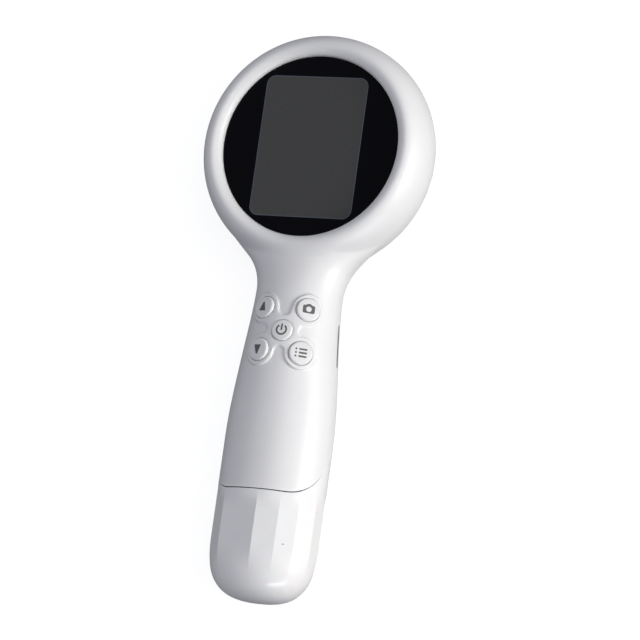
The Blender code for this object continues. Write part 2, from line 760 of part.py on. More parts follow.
def grip_electronics():
    socket = bevel_edges(box_mesh(SOCKET_LOW, SOCKET_HIGH), SOCKET_ROUND, sideways, 3)
    socket = make_object("charge_socket", socket, "steel")
    cut(socket, cutter("socket_mouth", box_mesh(MOUTH_LOW, MOUTH_HIGH)))
    plate("socket_tongue", "switch_black", TONGUE_LOW, TONGUE_HIGH)
    plate("power_board", "board_green", POWER_BOARD_LOW, POWER_BOARD_HIGH, 0.001)
    x, along = SOUNDER_PLACE
    disc("sounder", "switch_black", SOUNDER_R, *SOUNDER_UP, x=x, along=along, sides=24)
    make_object("rest_foot", foot_mesh(0.0, FOOT_TOP), "rubber_grey")


def screws():
    for name, (x, along, floor) in SCREWS.items():
        head = floor - GAP
        top = head - SCREW_HEAD
        profile = [(0, top), (SCREW_HEAD_R - 0.0006, top), (SCREW_HEAD_R, top + 0.0005),
                   (SCREW_HEAD_R, head), (SCREW_R, head), (SCREW_R, SCREW_TIP), (0, SCREW_TIP)]
        screw = make_object(name, turned_mesh(profile, 14, place(x, along, 0)), "steel")
        drive = turned_mesh(disc_profile(0.0011, top - 0.0013, top + 0.0009), 6, place(x, along, 0))
        cut(screw, cutter("drive_" + name, drive))


def build():
    clear_scene()
    front_shell()
    rear_shell()
    battery_cover()
    port_flap()
    display()
    boards()
    treatment_head()
    keypad()
    power()
    grip_electronics()
    screws()


build()
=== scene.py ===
"""Looks of the handheld ultrasound therapy device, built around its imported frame.

"along" is the distance from the head's centre towards the end of the grip, and "up" is
the height above the plane where the front and rear shells part, as in the frame. Lengths
are in metres, and a constant that holds (start, length) describes a smooth change.
"""
import json
import math

import bmesh
import bpy
import numpy as np
from mathutils import Matrix, Vector


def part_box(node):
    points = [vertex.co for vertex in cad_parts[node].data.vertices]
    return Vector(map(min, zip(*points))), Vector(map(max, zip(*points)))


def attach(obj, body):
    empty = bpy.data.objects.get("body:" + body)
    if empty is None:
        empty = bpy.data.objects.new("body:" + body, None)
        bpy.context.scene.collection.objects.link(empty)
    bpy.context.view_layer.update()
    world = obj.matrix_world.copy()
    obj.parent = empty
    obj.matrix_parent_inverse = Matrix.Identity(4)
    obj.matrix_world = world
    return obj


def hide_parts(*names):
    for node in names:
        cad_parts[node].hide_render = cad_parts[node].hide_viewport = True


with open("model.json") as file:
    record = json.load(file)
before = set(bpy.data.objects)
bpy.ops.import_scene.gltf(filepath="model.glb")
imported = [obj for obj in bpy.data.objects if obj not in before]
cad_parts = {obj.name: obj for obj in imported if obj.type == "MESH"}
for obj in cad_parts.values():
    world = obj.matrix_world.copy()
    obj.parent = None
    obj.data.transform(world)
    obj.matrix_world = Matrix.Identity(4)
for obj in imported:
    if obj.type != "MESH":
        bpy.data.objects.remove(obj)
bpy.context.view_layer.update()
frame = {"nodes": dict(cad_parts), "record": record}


# ------------------------------------------------------------- driving sizes

low_corner, high_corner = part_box("front_shell")
cell_low, cell_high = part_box("battery_cell_left")
HEAD_R = round((high_corner.x - low_corner.x) / 2, 4)
HEAD_Y = round(high_corner.y - HEAD_R, 4)
END_ALONG = round(HEAD_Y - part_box("battery_cover")[0].y, 4)
MID_Z = round(cell_low.z / 2 + cell_high.z / 2, 4)

# Outline, seen from the front
FLARE = math.radians(44.5)
NECK_R = 0.022
GRIP_MIN = 0.0180
GRIP_MAX = 0.0223
GRIP_MAX_ALONG = 0.123
DOME_ALONG = 0.1635
DOME_POWER = 2.8

# Depths and roundings of the two halves
RIM_HEIGHT = 0.0164
RIM_ROUND = 0.0088
GRIP_FRONT = 0.0196
NECK_FRONT = 0.0135
FRONT_DEEPENING = (0.040, 0.050)
FRONT_GRIP_START = (0.0285, 0.014)
FRONT_BLEND = 0.003
HEAD_REAR = 0.0199
HEAD_REAR_ROUND = 0.0172
GRIP_REAR = 0.0202
NECK_REAR = 0.0167
REAR_DEEPENING = (0.055, 0.050)
REAR_GRIP_START = (0.025, 0.025)
REAR_BLEND = 0.005
BLEND_FADE = 0.005
SECTION_POWER = 2.12
WALL = 0.0022

# Display, its seat and the dish round it
GLASS_R = 0.03855
GLASS_TOP = 0.01154
GLASS_THICK = 0.0015
GLASS_ROUND = 0.00035
SEAT_R = 0.03872
WINDOW_R = 0.0378
LEDGE_TOP = 0.0096
LEDGE_LOW = 0.0074
LEDGE_END = (0.0430, 0.0012)
DISH_R = 0.0461
DISH_DEPTH = 0.0043
DISH_POWER = 2.05
SCREEN = (0.0446, 0.0598)
SCREEN_CORNER = 0.0036
SCREEN_OFFSET = (-0.0005, 0.0004)
SCREEN_BORDER = 0.00028

# Treatment face and the boss round it
FACE_R = 0.0259
FACE_HOLE_R = 0.0264
FACE_BACK = -0.0200
BOSS_R = 0.0305
BOSS_RISE = 0.0012
BOSS_SLOPE = 0.0007

# Key -> (x, along, radius)
KEYS = {
    "key_up": (-0.0076, 0.0706, 0.0048),
    "key_snapshot": (0.0105, 0.0702, 0.0050),
    "key_power": (0.0022, 0.0801, 0.0045),
    "key_down": (-0.0067, 0.0885, 0.0048),
    "key_menu": (0.0107, 0.0887, 0.0050),
}
KEY_RISE = 0.0016
KEY_GAP = 0.00017
KEY_ROUND = 0.0008
KEY_DOME = 0.00042
KEY_BOTTOM = -0.0034
PLATEAU_RISE = 0.0008
PLATEAU_MARGIN = 0.0021
PLATEAU_SLOPE = 0.00065
PLATEAU_BLEND = 0.0022
BRIDGE_WIDTH = 0.0076
GROOVE_DEPTH = 0.00022
GROOVE_WIDTH = 0.0008

# Battery cover: its seam, and the flats between edges given in degrees round the section
# from +X; the rear half mirrors the front one
SEAM_FRONT = 0.1456
SEAM_SWEEP = 0.0142
SEAM_TURN = math.radians(59)
SEAM_REAR = 0.1170
SEAM_BEND = 0.0052
SEAM_GAP = 0.00030
SEAM_LIP = 0.006
SEAM_LIP_WIDTH = 0.0004
PARTING_GAP = 0.00010
FRONT_EDGES = (12.0, 38.0, 60.5, 85.5, 129.0, 154.0, 180.0)
FACET_EDGES = FRONT_EDGES + tuple(360.0 - edge for edge in FRONT_EDGES[-2::-1])
FACET_SHARES = (0.0, 0.012, 0.03, 0.08, 0.2, 0.35, 0.5, 0.65, 0.8, 0.92, 0.97, 0.988)
FACETS_FROM = 0.1420
FACETS_GROW = 0.0085
FACETS_FADE = (0.1675, 0.0125)
MARK_EDGES = (38.0, 60.5)

PORT_ALONG = (0.0718, 0.0902)
PORT_UP = (-0.0041, -0.0017)

# Screw -> (x, along, height of its seat)
SCREWS = {
    "screw_neck_left": (-0.0112, 0.0560, -0.0100),
    "screw_neck_right": (0.0112, 0.0560, -0.0100),
    "screw_grip_left": (-0.0120, 0.0985, -0.0125),
    "screw_grip_right": (0.0120, 0.0985, -0.0125),
}

# Rows of a shell's grid: round the head, down the neck, to the middle line and to the seam
HEAD_ROWS = 96
NECK_ROWS = 38
MEET_ROWS = 130
GRIP_ROWS = 34
INNER_COLUMNS = 16
MEET_ALONG = 0.060
LEVEL_ALONG = 0.098
STRETCH_FROM = 0.100
COVER_LEVEL = 0.1500

FLAT = Matrix.Identity(4)
FACING_X = Matrix(((0, 0, 1), (1, 0, 0), (0, 1, 0))).to_4x4()
FACING_END = Matrix(((1, 0, 0), (0, 0, -1), (0, 1, 0))).to_4x4()


# ------------------------------------------------------------- body shape

def smooth(t):
    t = np.clip(t, 0.0, 1.0)
    return t * t * (3 - 2 * t)


def change(value, start, length):
    """0 up to start, 1 from start + length on, and smooth between."""
    return smooth((value - start) / length)


def soft_max(a, b, blend):
    width = blend * np.minimum(1.0, b / BLEND_FADE) + 1e-9
    near = np.maximum(width - np.abs(a - b), 0.0) / width
    return np.maximum(a, b) + near * near * width / 4


ACROSS = math.sin(FLARE)
DOWN = math.cos(FLARE)
NECK_X = GRIP_MIN + NECK_R
TANGENT_ALONG = HEAD_R * DOWN
FLARE_END = TANGENT_ALONG + ((HEAD_R + NECK_R) * ACROSS - NECK_X) * ACROSS / DOWN
NECK_ALONG = FLARE_END + NECK_R * DOWN


def dome_factor(along, inset=0.0):
    t = np.clip((along - DOME_ALONG) / (END_ALONG - inset - DOME_ALONG), 0.0, 1.0)
    return (1 - t ** DOME_POWER) ** (1 / DOME_POWER)


def half_width(along, inset=0.0):
    along = np.asarray(along, float)
    radius = HEAD_R - inset
    head = np.sqrt(np.maximum(radius ** 2 - along ** 2, 0.0))
    flare = radius * ACROSS - (along - radius * DOWN) * DOWN / ACROSS
    arc_r = NECK_R + inset
    arc = NECK_X - np.sqrt(np.maximum(arc_r ** 2 - (along - NECK_ALONG) ** 2, 0.0))
    widen = change(along, NECK_ALONG, GRIP_MAX_ALONG - NECK_ALONG)
    grip = GRIP_MIN + (GRIP_MAX - GRIP_MIN) * widen - inset
    grip = grip * dome_factor(along, inset)
    neck = np.where(along < NECK_ALONG - arc_r * DOWN, flare, arc)
    return np.where(along < radius * DOWN, head, np.where(along < NECK_ALONG, neck, grip))


def rim(radius, depth, rounding, inset):
    t = np.clip((HEAD_R - inset - radius) / rounding, 0.0, 1.0)
    return (depth - inset) * np.sqrt(1 - (1 - t) ** 2)


def grip_height(x, along, inset, depths, deepening, grip_start):
    """Height of one half of the neck and grip; depths are those of the neck and grip."""
    share = np.clip(np.abs(x) / np.maximum(half_width(along, inset), 1e-7), 0.0, 1.0)
    crown = (1 - share ** SECTION_POWER) ** (1 / SECTION_POWER)
    depth = depths[0] + (depths[1] - depths[0]) * change(along, *deepening) - inset
    return depth * change(along, *grip_start) * (crown * dome_factor(along, inset))


def front_height(x, along, inset=0.0):
    """Height of the front skin; the outer one dips from its crest to the glass."""
    radius = np.hypot(x, along)
    ring = rim(radius, RIM_HEIGHT, RIM_ROUND, inset)
    if inset == 0.0:
        t = np.clip((DISH_R - radius) / (DISH_R - SEAT_R), 0.0, 1.0)
        ring = ring - DISH_DEPTH * (1 - np.sqrt(1 - t ** DISH_POWER))
    grip = grip_height(x, along, inset, (NECK_FRONT, GRIP_FRONT), FRONT_DEEPENING,
                       FRONT_GRIP_START)
    return soft_max(ring, grip, FRONT_BLEND)


def rear_height(x, along, inset=0.0):
    ring = rim(np.hypot(x, along), HEAD_REAR, HEAD_REAR_ROUND, inset)
    grip = grip_height(x, along, inset, (NECK_REAR, GRIP_REAR), REAR_DEEPENING,
                       REAR_GRIP_START)
    return soft_max(ring, grip, REAR_BLEND)


def seam_along(up):
    """Where the battery cover's seam lies, seen from the side."""
    up = np.asarray(up, float)
    turn = np.arcsin(np.clip(up / GRIP_FRONT, 0.0, 1.0)) / SEAM_TURN
    front = SEAM_FRONT - SEAM_SWEEP * np.maximum(1 - turn, 0.0) ** 2
    middle = SEAM_FRONT - SEAM_SWEEP
    rear = middle - (middle - SEAM_REAR) * (1 - np.exp(np.minimum(up, 0.0) / SEAM_BEND))
    return np.where(up >= 0, front, rear)


def place(x, along, up):
    return Vector((x, HEAD_Y - along, MID_Z + up))


def segment_distance(x, along, start, end):
    line = np.array(end) - np.array(start)
    t = ((x - start[0]) * line[0] + (along - start[1]) * line[1]) / (line @ line)
    t = np.clip(t, 0.0, 1.0)
    return np.hypot(x - start[0] - t * line[0], along - start[1] - t * line[1])


def unrolled(x, along):
    """Distance from the middle line measured round the skin of the grip."""
    width = np.maximum(half_width(along), 1e-6)
    return width * np.arcsin(np.clip(x / width, -1.0, 1.0))


def plateau_depth(x, along):
    """How far a point lies inside the X-shaped key plateau; its notches are rounded."""
    depth = np.full(np.shape(x), -1.0)
    x = unrolled(x, along)
    centre_x, centre_along, _ = KEYS["key_power"]
    centre_x = float(unrolled(centre_x, centre_along))
    for key_x, key_along, radius in KEYS.values():
        key_x = float(unrolled(key_x, key_along))
        lobe = radius + PLATEAU_MARGIN - np.hypot(x - key_x, along - key_along)
        bridge = BRIDGE_WIDTH / 2 - segment_distance(
            x, along, (centre_x, centre_along), (key_x, key_along + 1e-6))
        for other in (lobe, bridge):
            near = np.maximum(PLATEAU_BLEND - np.abs(depth - other), 0.0) / PLATEAU_BLEND
            depth = np.maximum(depth, other) + near * near * PLATEAU_BLEND / 4
    return depth


def slopes(height, x, along, step):
    """Slopes of a skin across the grip and towards its end."""
    across = (height(x + step, along) - height(x - step, along)) / (2 * step)
    down = (height(x, along + step) - height(x, along - step)) / (2 * step)
    return across, down


def surface_frame(x, along):
    """Point on the front skin of the grip and its outward normal there."""
    across, down = slopes(front_height, x, along, 0.0004)
    point = place(x, along, float(front_height(x, along)))
    return point, Vector((-float(across), float(down), 1)).normalized()


# --------------------------------------------------------------- materials

class Paint:
    """Builds one procedural material, with its noises read in object space."""

    def __init__(self, name, roughness, metallic=0.0, **values):
        self.material = bpy.data.materials.new(name)
        self.material.use_nodes = True
        self.nodes = self.material.node_tree.nodes
        self.links = self.material.node_tree.links
        self.shader = self.nodes["Principled BSDF"]
        self.fill(self.shader, Roughness=roughness, Metallic=metallic, **values)
        self.place = self.node("TexCoord").outputs["Object"]

    def fill(self, node, **values):
        """Set or link inputs of a node; a name has _ for each space."""
        for name, value in values.items():
            socket = node.inputs[name.replace("_", " ")]
            if hasattr(value, "node"):
                self.links.new(value, socket)
            elif socket.type == "RGBA":
                socket.default_value = (*value[:3], 1.0)
            else:
                socket.default_value = value
        return node

    def node(self, kind, **values):
        return self.fill(self.nodes.new("ShaderNode" + kind), **values)

    def noise(self, scale, detail=3.0, stretch=None):
        source = self.place
        if stretch:
            source = self.node("Mapping", Vector=source, Scale=stretch).outputs["Vector"]
        return self.node("TexNoise", Vector=source, Scale=scale, Detail=detail).outputs["Fac"]

    def ramp(self, source, stops):
        node = self.node("ValToRGB", Fac=source)
        for element, (position, colour) in zip(node.color_ramp.elements, stops):
            element.position = position
            element.color = (*colour, 1.0)
        return node.outputs["Color"]

    def map(self, source, low, high, from_low=0.3, from_high=0.7):
        return self.node("MapRange", Value=source, From_Min=from_low, From_Max=from_high,
                         To_Min=low, To_Max=high).outputs["Result"]

    def mix(self, factor, first, second):
        node = self.nodes.new("ShaderNodeMix")
        node.data_type = "RGBA"
        return self.fill(node, Factor=factor, A=first, B=second).outputs["Result"]

    def bump(self, source, distance, strength, below=None):
        node = self.node("Bump", Height=source, Distance=distance, Strength=strength)
        if below:
            self.fill(node, Normal=below)
        self.finish(Normal=node.outputs["Normal"])
        return node.outputs["Normal"]

    def edges(self):
        """A value that is high on worn convex edges."""
        pointiness = self.node("NewGeometry").outputs["Pointiness"]
        return self.map(pointiness, 0.0, 1.0, 0.52, 0.62)

    def finish(self, **values):
        """Link or set inputs of the shader itself."""
        self.fill(self.shader, **values)
        return self.material


def shade(colour, factor):
    return tuple(min(1.0, part * factor) for part in colour)


def plastic(name, colour, roughness, grain=2600.0, depth=0.00002, variation=0.03, **extra):
    """Moulded plastic: faint blotches, a fine spark-eroded grain and polished edges."""
    paint = Paint(name, roughness, **extra)
    blotch = paint.noise(38.0, detail=4.0)
    base = paint.ramp(blotch, [(0.30, shade(colour, 1 - variation)), (0.70, colour)])
    fine = paint.bump(paint.noise(grain, detail=2.0), depth, 0.35)
    paint.bump(paint.noise(90.0, detail=2.0), 0.00004, 0.25, below=fine)
    return paint.finish(Base_Color=paint.mix(paint.edges(), base, shade(colour, 1.05)),
                        Roughness=paint.map(paint.noise(260.0), roughness * 0.90,
                                            roughness * 1.12))


def metal(name, colour, roughness, stretch=(1.0, 1.0, 1.0)):
    """Bare metal with fine directional marks and slightly dulled patches."""
    paint = Paint(name, roughness, 1.0)
    marks = paint.noise(1800.0, stretch=stretch)
    cloud = paint.noise(120.0, detail=4.0)
    paint.bump(marks, 0.000015, 0.5)
    return paint.finish(
        Base_Color=paint.ramp(cloud, [(0.30, shade(colour, 0.86)), (0.65, colour)]),
        Roughness=paint.map(marks, roughness * 0.75, roughness * 1.35))


def turned_metal(name, colour, roughness):
    """Metal faced on a lathe: fine rings about the head's centre, plus dulled patches."""
    paint = Paint(name, roughness, 1.0)
    shift = paint.node("Mapping", Vector=paint.place, Location=(0.0, -HEAD_Y, 0.0))
    rings = paint.node("TexWave", Vector=shift.outputs["Vector"], Scale=620.0,
                       Distortion=0.6, Detail=2.0)
    rings.wave_type = "RINGS"
    rings.rings_direction = "Z"
    cloud = paint.noise(90.0, detail=4.0)
    paint.bump(rings.outputs["Fac"], 0.00001, 0.6)
    return paint.finish(
        Base_Color=paint.ramp(cloud, [(0.30, shade(colour, 0.90)), (0.70, colour)]),
        Roughness=paint.map(cloud, roughness * 0.8, roughness * 1.25))


def board(name, colour):
    """Solder mask with faint copper tracks under it."""
    paint = Paint(name, 0.42)
    tracks = paint.node("TexBrick", Vector=paint.place, Scale=260.0, Mortar_Size=0.03,
                        Color1=colour, Color2=shade(colour, 0.8), Mortar=shade(colour, 2.1))
    paint.bump(tracks.outputs["Fac"], 0.00003, 0.5)
    return paint.finish(Base_Color=tracks.outputs["Color"],
                        Roughness=paint.map(paint.noise(300.0), 0.35, 0.5))


def make_materials():
    return {
        "shell_white": plastic("satin_white_shell", (0.70, 0.70, 0.71), 0.40),
        "cover_white": plastic("glossy_white_cover", (0.74, 0.74, 0.748), 0.30, grain=700.0,
                               depth=0.000002, variation=0.012, Coat_Weight=0.35,
                               Coat_Roughness=0.14, Specular_IOR_Level=0.22,
                               Subsurface_Weight=0.10, Subsurface_Scale=0.002),
        "key_white": plastic("satin_white_key", (0.70, 0.70, 0.71), 0.33, grain=3200.0),
        "display_glass": plastic("black_glass", (0.0018, 0.0018, 0.0032), 0.07, grain=500.0,
                                 depth=0.000002, variation=0.2, Specular_IOR_Level=0.07),
        "lcd_grey": plastic("grey_screen", (0.057, 0.057, 0.057), 0.30, grain=900.0,
                            depth=0.0000003, variation=0.015, Specular_IOR_Level=0.10),
        "screen_edge": plastic("screen_edge", (0.085, 0.095, 0.125), 0.30,
                               Specular_IOR_Level=0.10),
        "gasket_black": plastic("black_foam", (0.02, 0.02, 0.02), 0.85, depth=0.0001),
        "flap_grey": plastic("soft_grey_flap", (0.125, 0.128, 0.135), 0.55, grain=1500.0,
                             depth=0.00004, variation=0.12),
        "rubber_grey": plastic("grey_rubber", (0.10, 0.10, 0.11), 0.72, grain=1400.0,
                               depth=0.00006, variation=0.15),
        "symbol_print": plastic("symbol_print", (0.115, 0.115, 0.120), 0.55, grain=4000.0,
                                variation=0.25),
        "mark_print": plastic("mark_print", (0.30, 0.30, 0.31), 0.5, variation=0.1),
        "aluminium": turned_metal("turned_aluminium", (0.80, 0.81, 0.82), 0.26),
        "steel": metal("zinc_plated_steel", (0.58, 0.59, 0.60), 0.33),
        "nickel": metal("nickel_spring_steel", (0.68, 0.66, 0.60), 0.28, (1.0, 6.0, 1.0)),
        "board_green": board("green_board", (0.015, 0.13, 0.055)),
        "piezo_ceramic": plastic("piezo_ceramic", (0.70, 0.64, 0.50), 0.6, variation=0.1),
        "chassis_black": plastic("black_chassis", (0.03, 0.03, 0.034), 0.5, variation=0.2),
        "silicone": plastic("grey_silicone", (0.50, 0.51, 0.53), 0.6, variation=0.06,
                            Subsurface_Weight=0.2, Subsurface_Scale=0.002),
        "cell_wrap": plastic("blue_cell_wrap", (0.03, 0.13, 0.36), 0.28, grain=500.0,
                             depth=0.00003, variation=0.15),
        "switch_black": plastic("black_switch", (0.02, 0.02, 0.022), 0.4, variation=0.2),
    }


MATERIALS = make_materials()


# ------------------------------------------------------------ mesh helpers

def shade_piece(data, sharp):
    data.shade_smooth()
    data.set_sharp_from_angle(angle=math.radians(sharp))


def new_object(name, mesh):
    """A named object from a bmesh, linked into the scene."""
    data = bpy.data.meshes.new(name)
    mesh.to_mesh(data)
    mesh.free()
    made = bpy.data.objects.new(name, data)
    bpy.context.scene.collection.objects.link(made)
    return made


def finish_piece(name, mesh, slot, replaces=(), body="housing", material=None, sharp=30.0):
    """Turn a bmesh into a named piece that rides on a body."""
    bmesh.ops.remove_doubles(mesh, verts=mesh.verts, dist=2e-7)
    empty = [face for face in mesh.faces if face.calc_area() < 1e-15]
    bmesh.ops.delete(mesh, geom=empty, context="FACES_ONLY")
    lonely = [vertex for vertex in mesh.verts if not vertex.link_faces]
    bmesh.ops.delete(mesh, geom=lonely, context="VERTS")
    bmesh.ops.recalc_face_normals(mesh, faces=mesh.faces)
    if mesh.calc_volume(signed=True) < 0:
        bmesh.ops.reverse_faces(mesh, faces=mesh.faces)
    piece = new_object(name, mesh)
    piece.data.materials.append(MATERIALS[material or slot])
    shade_piece(piece.data, sharp)
    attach(piece, body)
    if replaces:
        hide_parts(*replaces)
    return piece


def cut_with(piece, meshes, operation="DIFFERENCE"):
    """Cut a piece with closed meshes, or join them to it, and apply the result."""
    tools = []
    for mesh in meshes:
        bmesh.ops.recalc_face_normals(mesh, faces=mesh.faces)
        tools.append(new_object("cutter", mesh))
        modifier = piece.modifiers.new("cut", "BOOLEAN")
        modifier.operation = operation
        modifier.solver = "EXACT"
        modifier.object = tools[-1]
    bpy.context.view_layer.update()
    graph = bpy.context.evaluated_depsgraph_get()
    result = bpy.data.meshes.new_from_object(piece.evaluated_get(graph))
    piece.modifiers.clear()
    piece.data = result
    for tool in tools:
        bpy.data.objects.remove(tool, do_unlink=True)
    shade_piece(result, 30.0)


def add_strip(mesh, first, second):
    for i in range(len(first) - 1):
        mesh.faces.new((first[i], first[i + 1], second[i + 1], second[i]))


def add_grid(mesh, points, filled=True):
    """Vertices, and quads if filled, of a (rows, columns, 3) array of points."""
    verts = [[mesh.verts.new(point) for point in row] for row in points]
    if filled:
        for first, second in zip(verts, verts[1:]):
            add_strip(mesh, first, second)
    return verts


def stack_grids(mesh, layers):
    """A closed solid from grids of points over each other; the outer two are filled."""
    rows, columns = layers[0].shape[:2]
    if np.allclose(layers[0][:, 0], layers[0][:, -1]):
        paths = [[(i, j) for j in range(columns)] for i in (0, rows - 1)]
    else:
        path = [(i, 0) for i in range(rows)] + [(rows - 1, j) for j in range(1, columns)]
        path += [(i, columns - 1) for i in range(rows - 2, -1, -1)]
        paths = [path + [(0, j) for j in range(columns - 2, -1, -1)]]
    last = len(layers) - 1
    grids = [add_grid(mesh, points, k in (0, last)) for k, points in enumerate(layers)]
    for near, far in zip(grids, grids[1:]):
        for path in paths:
            add_strip(mesh, [near[i][j] for i, j in path], [far[i][j] for i, j in path])


def new_ring(mesh, points):
    return [mesh.verts.new(point) for point in points]


def join_rings(mesh, rings, closed=False, capped=False):
    """Faces between rings of vertices; a ring of one vertex is a tip."""
    for near, far in zip(rings, rings[1:] + rings[:1] if closed else rings[1:]):
        count = max(len(near), len(far))
        for i in range(count):
            j = (i + 1) % count
            if len(near) == 1:
                mesh.faces.new((near[0], far[i], far[j]))
            elif len(far) == 1:
                mesh.faces.new((far[0], near[j], near[i]))
            else:
                mesh.faces.new((near[i], far[i], far[j], near[j]))
    if capped:
        mesh.faces.new(rings[0][::-1])
        mesh.faces.new(rings[-1])


def bridge_rows(mesh, first, second):
    """Faces between two open rows that have different numbers of points."""
    i = j = 0
    while i < len(first) - 1 or j < len(second) - 1:
        go_first = (i + 1) / (len(first) - 1) <= (j + 1) / (len(second) - 1)
        if j == len(second) - 1 or (i < len(first) - 1 and go_first):
            mesh.faces.new((first[i], first[i + 1], second[j]))
            i += 1
        else:
            mesh.faces.new((first[i], second[j + 1], second[j]))
            j += 1


def turned(profile, sides, point, axis=Vector((0, 0, 1)), closed=False):
    """A (radius, height) profile turned about an axis; ends on the axis close it."""
    mesh = bmesh.new()
    turn = Vector((0, 0, 1)).rotation_difference(axis).to_matrix().to_4x4()
    transform = Matrix.Translation(point) @ turn
    rings = []
    for radius, height in profile:
        angles = [2 * math.pi * i / sides for i in range(1 if radius < 1e-8 else sides)]
        rings.append(new_ring(mesh, [
            transform @ Vector((radius * math.cos(angle), radius * math.sin(angle), height))
            for angle in angles]))
    join_rings(mesh, rings, closed)
    return mesh


def fillet(centre, radius, start, end, steps=6):
    """Points of a rounding in a profile, its angles in degrees."""
    angles = [math.radians(start + (end - start) * i / steps) for i in range(steps + 1)]
    return [(centre[0] + radius * math.cos(a), centre[1] + radius * math.sin(a)) for a in angles]


def rounded_rectangle(width, height, corner, steps=8):
    points = []
    for sign_x, sign_y, start in ((1, 1, 0), (-1, 1, 90), (-1, -1, 180), (1, -1, 270)):
        centre = (sign_x * (width / 2 - corner), sign_y * (height / 2 - corner))
        points += fillet(centre, corner, start, start + 90, steps)
    return points


def block(width, height, corner, low, high, centre=(0, 0, 0), facing=FLAT, steps=8):
    """A rounded rectangle extruded from low to high, flat or turned to face X or the end."""
    transform = Matrix.Translation(centre) @ facing
    mesh = bmesh.new()
    rings = [new_ring(mesh, [transform @ Vector((x, y, z))
                             for x, y in rounded_rectangle(width, height, corner, steps)])
             for z in (low, high)]
    join_rings(mesh, rings, capped=True)
    return mesh


# ------------------------------------------------------------------ shells

def on_circle(radius, phi):
    return radius * math.sin(phi), -radius * math.cos(phi)


def strip_ends(inner_r, inset):
    """Inner and outer end of each cross strip of one half of a shell.

    Round the head a strip runs from the opening to the outline along a radius; down the
    neck its inner end goes round the bottom of the opening and then down the middle.
    """
    tangent = math.pi - FLARE
    angles = np.linspace(0.0, tangent, HEAD_ROWS)
    inner = [on_circle(inner_r, phi) for phi in angles]
    outer = [on_circle(HEAD_R - inset, phi) for phi in angles]
    rows = np.concatenate([np.linspace(TANGENT_ALONG, MEET_ALONG, NECK_ROWS)[1:],
                           np.linspace(MEET_ALONG, LEVEL_ALONG, MEET_ROWS)[1:],
                           np.linspace(LEVEL_ALONG, SEAM_REAR, GRIP_ROWS)[1:]])
    for along in rows:
        outer.append((float(half_width(along, inset)), along))
        if along <= MEET_ALONG:
            share = (along - TANGENT_ALONG) / (MEET_ALONG - TANGENT_ALONG)
            inner.append(on_circle(inner_r, tangent + (math.pi - tangent) * share))
        else:
            left = 1 - float(change(along, MEET_ALONG, LEVEL_ALONG - MEET_ALONG))
            inner.append((0.0, along - (MEET_ALONG - inner_r) * left))
    return np.array(inner), np.array(outer)


def strip_points(inner_r, inset, columns):
    """(x, along) of a half shell's grid, its columns close together near both edges."""
    inner, outer = strip_ends(inner_r, inset)
    t = np.linspace(0.0, 1.0, columns)
    both = (1 - np.cos(math.pi * t)) / 2
    one = np.sin(math.pi / 2 * t)
    share = change(outer[:, 1], 0.030, 0.040)[:, None]
    spread = both[None, :] * (1 - share) + one[None, :] * share
    points = inner[:, None, :] + (outer - inner)[:, None, :] * spread[:, :, None]
    return points[:, :, 0], points[:, :, 1]


def skin_height(front, x, along, inset=0.0):
    return front_height(x, along, inset) if front else rear_height(x, along, inset)


def fit_to_seam(front, x, along, inset):
    """Stretch the end of a half shell's grid so that it stops at the cover's seam."""
    sign = 1.0 if front else -1.0
    share = np.clip((along - STRETCH_FROM) / (SEAM_REAR - STRETCH_FROM), 0.0, None)
    fraction = x / np.maximum(half_width(along, inset), 1e-9)
    moved = along
    for _ in range(8):
        width = half_width(moved, inset)
        moved_x = np.clip(np.where(share > 0.0, fraction * width, x), -width, width)
        up = sign * skin_height(front, moved_x, moved, inset)[-1]
        end = seam_along(up) - SEAM_GAP / 2
        stretched = STRETCH_FROM + (end[None, :] - STRETCH_FROM) * share
        moved = np.where(share > 0.0, (moved + stretched) / 2, along)
    return np.where(share > 0.0, fraction * half_width(moved, inset), x), moved


def inner_skin(front, x, along, up):
    """Points of the inner skin; in the front shell it stays behind the display's ledge."""
    if front:
        share = change(np.hypot(x, along), *LEDGE_END)
        up = LEDGE_LOW + (np.maximum(up, 0.0) - LEDGE_LOW) * share
    sign = 1.0 if front else -1.0
    return np.stack([x, HEAD_Y - along, MID_Z + sign * up], axis=-1)


def outer_skin(front, x, along, up):
    """Points of the outer skin with its raised and sunk features."""
    raised = np.zeros_like(up)
    if front:
        raised += PLATEAU_RISE * smooth(plateau_depth(x, along) / PLATEAU_SLOPE)
        for key_x, key_along, radius in KEYS.values():
            around = unrolled(x, along) - float(unrolled(key_x, key_along))
            edge = np.hypot(around, along - key_along) - radius
            raised -= GROOVE_DEPTH * (1 - smooth(edge / GROOVE_WIDTH)) * (edge > -0.002)
    else:
        up = up + BOSS_RISE * smooth((BOSS_R + 0.0002 - np.hypot(x, along)) / BOSS_SLOPE)
    across, down = slopes(lambda *at: skin_height(front, *at), x, along, 0.00015)
    length = np.sqrt(across ** 2 + down ** 2 + 1)
    sign = 1.0 if front else -1.0
    points = np.stack([x - raised * across / length,
                       HEAD_Y - along + raised * down / length,
                       MID_Z + sign * (up + raised / length)], axis=-1)
    points[:, -1, 0] = x[:, -1]
    points[:, -1, 1] = HEAD_Y - along[:, -1]
    return points


